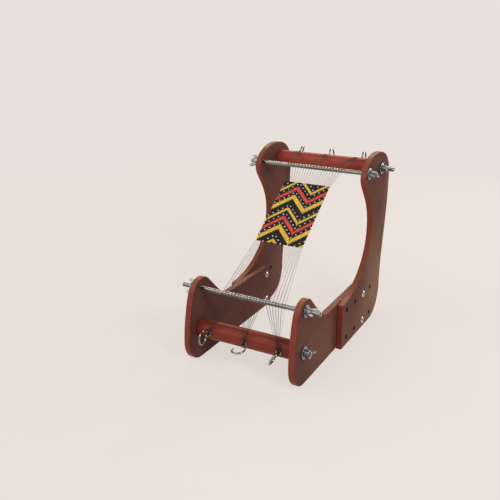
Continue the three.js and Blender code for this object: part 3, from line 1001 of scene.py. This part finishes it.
def jostle(grid, beads, shift, tilt=math.radians(3.0), growth=0.025, seed=7):
    """Gives each bead its own small shift, tilt and size, as real glass has."""
    rng = np.random.default_rng(seed)
    vertices = grid.data.vertices
    points = np.empty(len(vertices) * 3)
    vertices.foreach_get("co", points)
    points = points.reshape(beads, -1, 3)
    middle = points.mean(axis=1, keepdims=True)
    local = (points - middle) * rng.normal(1.0, growth, (beads, 1, 3))
    angle = rng.normal(0.0, tilt, (beads, 1))
    x, y = local[..., 0].copy(), local[..., 1].copy()
    local[..., 0] = x * np.cos(angle) - y * np.sin(angle)
    local[..., 1] = x * np.sin(angle) + y * np.cos(angle)
    moved = middle + rng.normal(0.0, shift, (beads, 1, 3))
    vertices.foreach_set("co", (moved + local).ravel())
    grid.data.update()


def build_beads(columns, rows):
    """All beads in one mesh, row by row, in their place on the warp."""
    width = size_of("beadwork").x
    pitch = width / columns
    grid = build_bead(pitch - 0.7 * sizes().thread, 0.97 * pitch)
    for amount, step in ((columns, (pitch, 0.0, 0.0)), (rows, (0.0, pitch, 0.0))):
        modify(
            grid, "ARRAY", count=amount, use_relative_offset=False,
            use_constant_offset=True, constant_offset_displace=step,
        )
    jostle(grid, columns * rows, shift=0.02 * pitch)
    corner = Matrix.Translation(((pitch - width) / 2, (1 - rows) * pitch / 2, 0.0))
    grid.data.transform(strip_frame() @ corner)
    return grid


def paint_beads(grid, columns, rows):
    """Gives each bead one of the bead finishes."""
    for name in BEAD_COLORS:
        grid.data.materials.append(bead_finish(f"bead_{name}", getattr(colors(), f"bead_{name}")))
    picked = [
        BEAD_COLORS.index(bead_color(column, row, rows)) for row in range(rows) for column in range(columns)
    ]
    faces = len(grid.data.polygons) // len(picked)
    grid.data.polygons.foreach_set("material_index", np.repeat(np.array(picked, dtype=np.int32), faces))


class LOOM_OT_beadwork(bpy.types.Operator):
    """Models the strip of beadwork bead by bead"""

    bl_idname = "loom.beadwork"
    bl_label = "Beadwork"

    def execute(self, context):
        columns, rows = sizes().columns, sizes().rows
        grid = build_beads(columns, rows)
        paint_beads(grid, columns, rows)
        with Editing(grid):
            bpy.ops.mesh.separate(type="MATERIAL")
        for piece in list(bpy.context.selected_objects):
            finish = piece.data.materials[piece.data.polygons[0].material_index]
            piece.data.materials.clear()
            piece.data.materials.append(finish)
            piece.data.polygons.foreach_set("material_index", [0] * len(piece.data.polygons))
            piece.name = f"beads_{finish.name.split('_')[1]}"
            smooth(piece, 50.0)
            ride(piece, "beadwork", "seed_beads", "beadwork")
        return {"FINISHED"}


# Warp


def tangent_angle(rod, dowel, on_rod, on_dowel, side):
    """Where a thread that wraps both circles on the same side leaves them."""
    run = dowel - rod
    return math.atan2(run.z, run.y) + side * math.acos((on_rod - on_dowel) / run.length)


def thread_piece(name, lines, finish):
    """Thin threads through lists of points."""
    paths = [[(spot, 1.0) for spot in line] for line in lines]
    piece = wire_piece(name, paths, sizes().thread / 2, roundness=1)
    piece.data.materials.append(finish)
    return piece


# How high over the dowel the threads are tied to a hook, from the lowest to the highest
TIED_LOW = 2.3 * MM
TIED_HIGH = 3.5 * MM


class WarpEnd:
    """One end of the warp: its rod, its dowel and its hooks.

    All angles are those of ring_point. The warp comes onto the rod at arrive. It leaves the rod and
    comes onto the dowel at contact, because the two are joined by a common tangent.
    """

    def __init__(self, end, rod, dowel, side):
        self.end = end
        self.rod = rod
        self.dowel = dowel
        self.on_rod = ROD_RADIUS + sizes().thread / 2
        self.on_dowel = DOWEL_RADIUS + sizes().thread / 2
        self.arrive = math.atan2(LIFT.z, LIFT.y)
        contact = tangent_angle(rod, dowel, self.on_rod, self.on_dowel, side)
        self.contact = (contact - self.arrive + math.pi) % (2 * math.pi) + self.arrive - math.pi
        self.hooks = [hook_place(f"{end}_hook_{name}", dowel) for name in HOOKS]
        self.hook_angle = sum(angle for x, angle in self.hooks) / len(self.hooks)

    def knot_point(self, angle, rise=(TIED_LOW + TIED_HIGH) / 2, beside=1.8 * MM):
        """Where the threads reach a hook's knot, and where on the way they leave the dowel."""
        turn = math.copysign(1.0, angle - self.contact)
        foot = ring_point(self.dowel, DOWEL_RADIUS + rise, angle)
        spot = foot - turn * beside * Vector((0.0, -math.sin(angle), math.cos(angle)))
        off = spot - self.dowel
        at = angle - turn * math.atan2(beside, DOWEL_RADIUS + rise)
        leave = at - turn * math.acos(self.on_dowel / off.length)
        return spot, leave if turn * (leave - self.contact) > 0 else None

    def side_view(self, angle, rise, steps=6):
        """A thread's way from the rod over the dowel to a hook's knot, in Y and Z."""
        tied, leave = self.knot_point(angle, rise)
        way = [ring_point(self.rod, self.on_rod, self.contact)]
        if leave is not None:
            way += arc(self.dowel, self.on_dowel, self.contact, leave)
        return way + [way[-1].lerp(tied, step / steps) for step in range(1, steps + 1)]


def slanted(way, begin, end):
    """A way in Y and Z with an X that goes evenly from begin to end along it."""
    travelled = [0.0]
    for here, there in zip(way, way[1:]):
        travelled.append(travelled[-1] + (there - here).length)
    slant = (end - begin) / travelled[-1]
    return [Vector((begin + slant * done, spot.y, spot.z)) for done, spot in zip(travelled, way)]


def end_threads(place, edge):
    """The threads of one end of the warp: flat from the beads over the rod, then gathered to the hooks.

    The threads lie in twins on the rod, and each hook has an even share of them.
    """
    values = sizes()
    pitch = size_of("beadwork").x / values.columns
    share = (values.columns + 1) / len(HOOKS)
    middle = centre("beadwork").x
    strip = strip_frame()
    flat, gathered = [], []
    for index in range(values.columns + 1):
        column = index - values.columns / 2
        twin = index % 2 - 0.5
        x = middle + (column - twin) * values.rod_spread + twin * values.twin_gap
        over = arc(place.rod + Vector((x, 0.0, 0.0)), place.on_rod, place.arrive, place.contact)
        flat.append([strip @ Vector((column * pitch, edge, 0.0)), *over])
        group = min(int(index / share), len(HOOKS) - 1)
        hook_x, hook_angle = place.hooks[group]
        tied_x = hook_x + (index + 0.5 - (group + 0.5) * share) / share * values.knot
        rise = TIED_LOW + (TIED_HIGH - TIED_LOW) * (7 * index % 5) / 4
        gathered.append(slanted(place.side_view(hook_angle, rise), x, tied_x))
    return flat, gathered


KNOT_LAYERS = (10, 9, 8, 6, 4)  # windings in each layer of a knot, from the hook outwards
LOOSE_ENDS = 4


def winding(layer, turns, per_turn=12):
    """One layer of a knot: thread wound up round the z axis, with a slight sway."""
    gauge = sizes().thread
    reach = sizes().hook_wire / 2 + (layer + 0.5) * 0.95 * gauge
    foot = (1.5 + 0.2 * layer) * MM
    spots = []
    for step in range(per_turn * turns + 1):
        around = 2 * math.pi * step / per_turn
        rise = foot + gauge * step / per_turn + 0.12 * MM * math.sin(1.7 * around + layer)
        spots.append(Vector((reach * math.cos(around), reach * math.sin(around), rise)))
    return spots


def loose_end(rng):
    """A cut end of a thread that stands out of a knot in a low bow."""
    lean = rng.uniform(0.0, 2 * math.pi)
    reach = rng.uniform(2.5, 5.5) * MM
    start = Vector((math.cos(lean), math.sin(lean), 0.0)) * (sizes().hook_wire / 2 + sizes().thread)
    tip = start * (1 + reach / start.length)
    bow = Vector((0.0, 0.0, rng.uniform(0.6, 1.6) * MM))
    return [start.lerp(tip, share) + bow * (1.4 - (2 * share - 1) ** 2) for share in (0, 0.25, 0.5, 0.75, 1)]


def build_knot(place, side, x, angle, finish, seed=5):
    """Thread wound and tied round a hook's shank, with its cut ends."""
    rng = np.random.default_rng(seed)
    lines = [winding(layer, turns) for layer, turns in enumerate(KNOT_LAYERS)]
    lines += [loose_end(rng) for _ in range(LOOSE_ENDS)]
    foot = Vector((x, 0.0, 0.0)) + ring_point(place.dowel, DOWEL_RADIUS, angle)
    stand = Matrix.Translation(foot) @ Matrix.Rotation(angle - math.pi / 2, 4, "X")
    lines = [[stand @ spot for spot in line] for line in lines]
    return thread_piece(f"{place.end}_knot_{side}", lines, finish)


class LOOM_OT_warp(bpy.types.Operator):
    """Models the warp thread by thread, from the beads over the rods to the hooks"""

    bl_idname = "loom.warp"
    bl_label = "Warp Threads"

    def execute(self, context):
        finish = thread_finish("warp_finish", colors().thread)
        columns, rows = sizes().columns, sizes().rows
        pitch = size_of("beadwork").x / columns
        half = rows * pitch / 2
        strip = strip_frame()
        across = [(index - columns / 2) * pitch for index in range(columns + 1)]
        inside = [[strip @ Vector((x, y, 0.0)) for y in (-half, half)] for x in across]
        ride(thread_piece("warp_in_beadwork", inside, finish), "beadwork", "warp_thread")
        ends = (
            (WarpEnd("front", FRONT_ROD, FRONT_DOWEL, -1.0), -half),
            (WarpEnd("top", TOP_ROD, TOP_DOWEL, 1.0), half),
        )
        for place, edge in ends:
            flat, gathered = end_threads(place, edge)
            first = thread_piece(f"{place.end}_warp_flat", flat, finish)
            reach = ring_point(place.rod, place.on_rod, place.arrive)
            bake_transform(first)
            second = thread_piece(f"{place.end}_warp_gathered", gathered, finish)
            touch = ring_point(place.dowel, place.on_dowel, place.contact)
            tied = place.knot_point(place.hook_angle)[0]
            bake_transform(second)
            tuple(tied)
            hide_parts(*(f"{place.end}_warp_{name}" for name in HOOKS))
            for side, (x, angle) in zip(HOOKS, place.hooks):
                ride(build_knot(place, side, x, angle, finish), f"{place.end}_dowel", "warp_thread")
        return {"FINISHED"}


# Stage


# The camera, with FOCAL to CENTRE_Y in pixels of a picture that is PICTURE wide and high
FOCAL = 697.64
PICTURE = 500.0
CENTRE_X = 231.32
CENTRE_Y = 169.26
CAMERA_AT = (0.34905, -0.77836, 0.40557)
CAMERA_AZIMUTH = math.radians(29.297)
CAMERA_DROP = math.radians(12.461)
CAMERA_ROLL = math.radians(0.219)

WHITE = (1.0, 1.0, 1.0)
LAMPS_AIM = (0.0, 0.0, 0.12)

# Name, place, width and height, power in watts, colour
LAMPS = (
    ("key", (-0.75, -0.95, 1.15), (1.8, 1.6), 16.0, WHITE),
    ("side", (0.85, -0.55, 0.75), (0.3, 0.3), 6.0, WHITE),
    ("fill", (0.6, 1.1, 0.42), (0.3, 0.4), 8.5, (1.0, 0.93, 0.86)),
    ("rim", (-0.4, 1.2, 1.1), (1.2, 0.4), 9.0, (1.0, 0.72, 0.48)),
)


def add_camera():
    camera = bpy.data.cameras.new("camera")
    camera.sensor_width = 36.0
    camera.lens = FOCAL * camera.sensor_width / PICTURE
    camera.shift_x = 0.5 - CENTRE_X / PICTURE
    camera.shift_y = CENTRE_Y / PICTURE - 0.5
    camera.clip_start = 0.01
    eye = new_object("camera", camera)
    turn = Matrix.Rotation(CAMERA_AZIMUTH, 4, "Z")
    turn @= Matrix.Rotation(math.pi / 2 - CAMERA_DROP, 4, "X")
    turn @= Matrix.Rotation(CAMERA_ROLL, 4, "Z")
    eye.matrix_world = Matrix.Translation(CAMERA_AT) @ turn
    bpy.context.scene.camera = eye


def ground_finish(color, least=0.8, near=0.3, rise=1.2):
    """Pale ground that the camera and the metal see at an even tone, with the loom's own shadow.

    The share of the even tone is least up to near, in metres from the loom, and rises to 1 farther out.
    """
    finish = Finish("ground", color, 0.9, specular_ior_level=0.1)
    glow = finish.add("ShaderNodeEmission", sockets={"Color": color})
    by_camera = finish.add("ShaderNodeLightPath", output="Is Camera Ray")
    by_metal = finish.add("ShaderNodeLightPath", output="Is Glossy Ray")
    away = finish.add("ShaderNodeVectorMath", {"operation": "LENGTH"}, {"Vector": finish.place()}, "Value")
    share = least + (1.0 - least) * ((away - near) * rise).clamped()
    lit = Wire(finish.tree, finish.shader.outputs[0])
    finish.show(by_camera.math("MAXIMUM", by_metal) * share, lit, glow)
    return finish.material


def add_ground(side=24.0, wall=12.0, sweep=8.0):
    """A floor that rises into a backdrop in one sweep."""
    deselect()
    bpy.ops.mesh.primitive_plane_add(size=side, location=(0.0, 0.0, 0.0))
    ground = bpy.context.object
    ground.name = "ground"
    depths = [vertex.co.y for vertex in ground.data.vertices]
    choose(ground, "EDGE", lambda edge: min(depths[index] for index in edge.vertices) > 0.0)
    bpy.ops.mesh.extrude_region_move(TRANSFORM_OT_translate={"value": (0.0, 0.0, wall)})
    bpy.ops.object.mode_set(mode="OBJECT")
    modify(ground, "BEVEL", width=sweep, segments=32, limit_method="ANGLE")
    smooth(ground, 60.0)
    ground.data.materials.append(ground_finish(colors().ground))


def add_lamp(name, place, size, power, color):
    """A soft lamp that faces the loom."""
    lamp = bpy.data.lights.new(name, "AREA")
    lamp.shape = "RECTANGLE"
    lamp.size, lamp.size_y = size
    lamp.energy = power
    lamp.color = color
    away = (Vector(place) - Vector(LAMPS_AIM)).to_track_quat("Z", "Y")
    new_object(name, lamp).matrix_world = Matrix.Translation(place) @ away.to_matrix().to_4x4()


def add_sky(seen_color, color=(1.0, 0.98, 0.96), strength=0.28):
    """Soft light from all round. Past the backdrop's end, the camera sees the ground's tone."""
    world = bpy.data.worlds.new("studio")
    world.use_nodes = True
    sky = Tree(world.node_tree)
    light = sky.tree.nodes["Background"]
    plug(sky.tree, light.inputs["Color"], color)
    plug(sky.tree, light.inputs["Strength"], strength)
    seen = sky.add("ShaderNodeBackground", sockets={"Color": seen_color})
    sky.show(sky.add("ShaderNodeLightPath", output="Is Camera Ray"), Wire(sky.tree, light.outputs[0]), seen)
    bpy.context.scene.world = world


class LOOM_OT_stage(bpy.types.Operator):
    """Adds the camera, the ground and the soft studio light"""

    bl_idname = "loom.stage"
    bl_label = "Stage"

    def execute(self, context):
        add_camera()
        add_ground()
        for lamp in LAMPS:
            add_lamp(*lamp)
        add_sky(colors().ground)
        context.scene.view_settings.view_transform = "Standard"
        return {"FINISHED"}


class LOOM_PT_panel(bpy.types.Panel):
    """Lists the loom's pieces in the order in which they are made"""

    bl_idname = "LOOM_PT_panel"
    bl_label = "Bead Loom"
    bl_space_type = "VIEW_3D"
    bl_region_type = "UI"
    bl_category = "Bead Loom"

    def draw(self, context):
        for group in (context.scene.loom_sizes, context.scene.loom_colors):
            box = self.layout.box()
            for name in group.__annotations__:
                box.prop(group, name)
        for operator in OPERATORS:
            self.layout.operator(operator.bl_idname)


OPERATORS = (
    LOOM_OT_stage,
    LOOM_OT_boards,
    LOOM_OT_rods,
    LOOM_OT_dowels,
    LOOM_OT_fasteners,
    LOOM_OT_connectors,
    LOOM_OT_beadwork,
    LOOM_OT_warp,
)
CLASSES = (LoomSizes, LoomColors, *OPERATORS, LOOM_PT_panel)


def register():
    for cls in CLASSES:
        bpy.utils.register_class(cls)
    bpy.types.Scene.loom_sizes = bpy.props.PointerProperty(type=LoomSizes)
    bpy.types.Scene.loom_colors = bpy.props.PointerProperty(type=LoomColors)


def unregister():
    del bpy.types.Scene.loom_colors
    del bpy.types.Scene.loom_sizes
    for cls in reversed(CLASSES):
        bpy.utils.unregister_class(cls)


def main():
    register()
    deselect()
    for operator in OPERATORS:
        group, name = operator.bl_idname.split(".")
        getattr(getattr(bpy.ops, group), name)()


if __name__ == "__main__":
    main()
